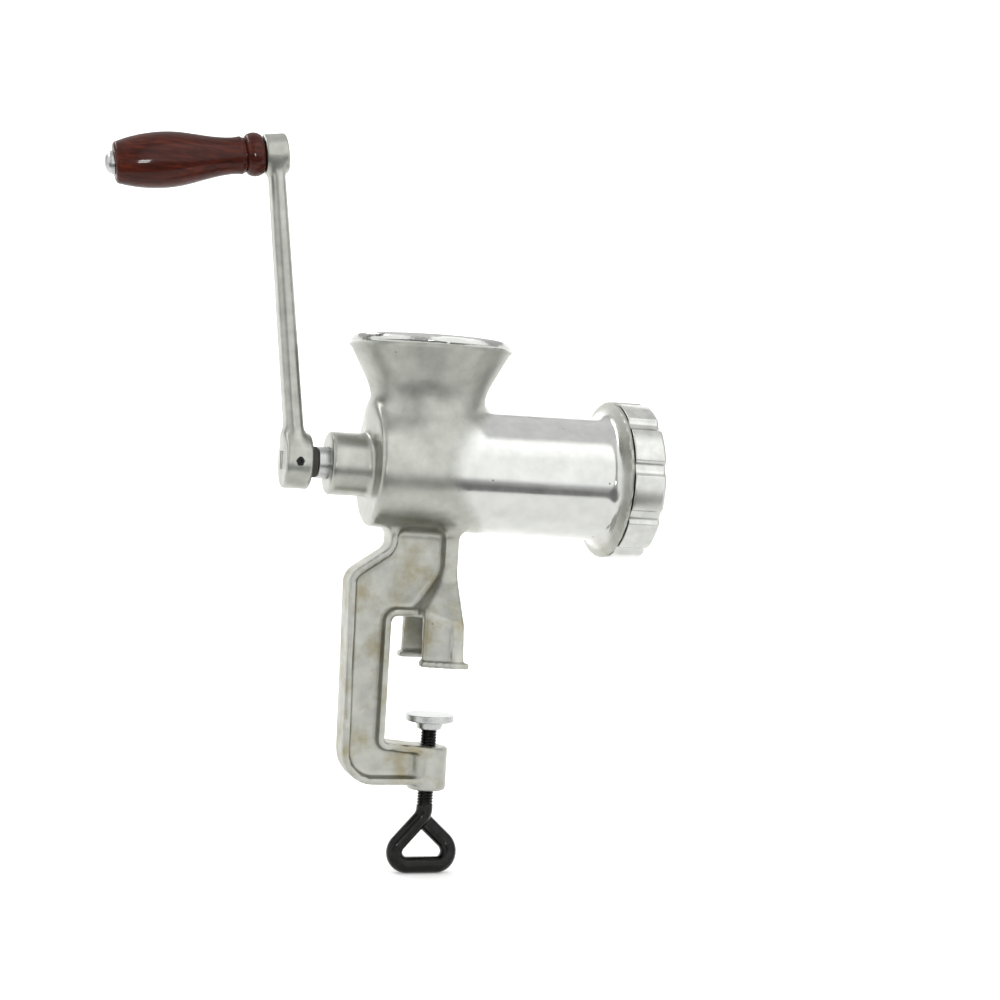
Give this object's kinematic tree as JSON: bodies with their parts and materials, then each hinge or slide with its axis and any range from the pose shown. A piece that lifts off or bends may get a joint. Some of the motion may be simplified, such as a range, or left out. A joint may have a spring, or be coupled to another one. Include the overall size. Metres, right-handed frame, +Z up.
{
  "type": "hand meat grinder",
  "caption": "Clamp-on hand-cranked meat grinder with a round hopper, barrel, lobed ring nut, crank with a wooden grip and a table clamp.",
  "frame": {"origin": "centre of the underside of the fixed jaw, where it sits on a table top", "axes": "+X along the barrel towards the ring nut, +Z up, -Y towards the viewer of the picture"},
  "size_m": [0.2867, 0.084, 0.3712],
  "materials": {
    "tinned_iron": "tinned casting, satin with soft mottling, barrel polished",
    "bright_iron": "tinned and polished bright",
    "screw_iron": "tinned casting, satin",
    "crank_iron": "tinned casting, satin",
    "steel": "turned and ground",
    "black_steel": "blackened, glossy",
    "dark_fibre": "dark fibre",
    "varnished_wood": "dark red-brown, glossy varnish"
  },
  "bodies": {
    "housing": {"grinder_body": "tinned_iron", "plate_key": "steel", "rear_bush": "steel"},
    "drive": {"auger": "screw_iron", "auger_stud": "steel", "thrust_washer": "steel", "knife": "steel", "spacer_washer": "dark_fibre", "crank_arm": "crank_iron", "crank_screw": "black_steel", "handle_spindle": "steel", "grip_washer": "steel"},
    "grip": {"handle_grip": "varnished_wood"},
    "plate": {"grinding_plate": "steel"},
    "ring": {"ring_nut": "bright_iron"},
    "pad": {"clamp_pad": "steel"},
    "screw": {"clamp_screw": "black_steel"}
  },
  "joints": [
    {"name": "crank_turn", "type": "hinge", "parent": "housing", "child": "drive", "pos_m": [0, 0, 0.0993], "axis": [1, 0, 0], "continuous": true},
    {"name": "grip_spin", "type": "hinge", "parent": "drive", "child": "grip", "pos_m": [-0.10281, 0, 0.25139], "axis": [0.9854, 0, 0.1702], "continuous": true},
    {"name": "plate_slide", "type": "slide", "parent": "housing", "child": "plate", "axis": [1, 0, 0], "range_m": [0, 0.01]},
    {"name": "ring_turn", "type": "hinge", "parent": "plate", "child": "ring", "pos_m": [0.0839, 0, 0.0993], "axis": [1, 0, 0], "range_deg": [0, 1440]},
    {"name": "pad_slide", "type": "slide", "parent": "housing", "child": "pad", "axis": [0, 0, 1], "range_m": [-0.0075, 0.009]},
    {"name": "screw_turn", "type": "hinge", "parent": "pad", "child": "screw", "pos_m": [-0.0058, 0, -0.06], "axis": [0, 0, 1], "range_deg": [-1800, 2160]}
  ],
  "couplings": [
    {"joint": "plate_slide", "follows": "ring_turn", "m_per_rad": 0.00039789},
    {"joint": "pad_slide", "follows": "screw_turn", "m_per_rad": 0.00023873}
  ]
}
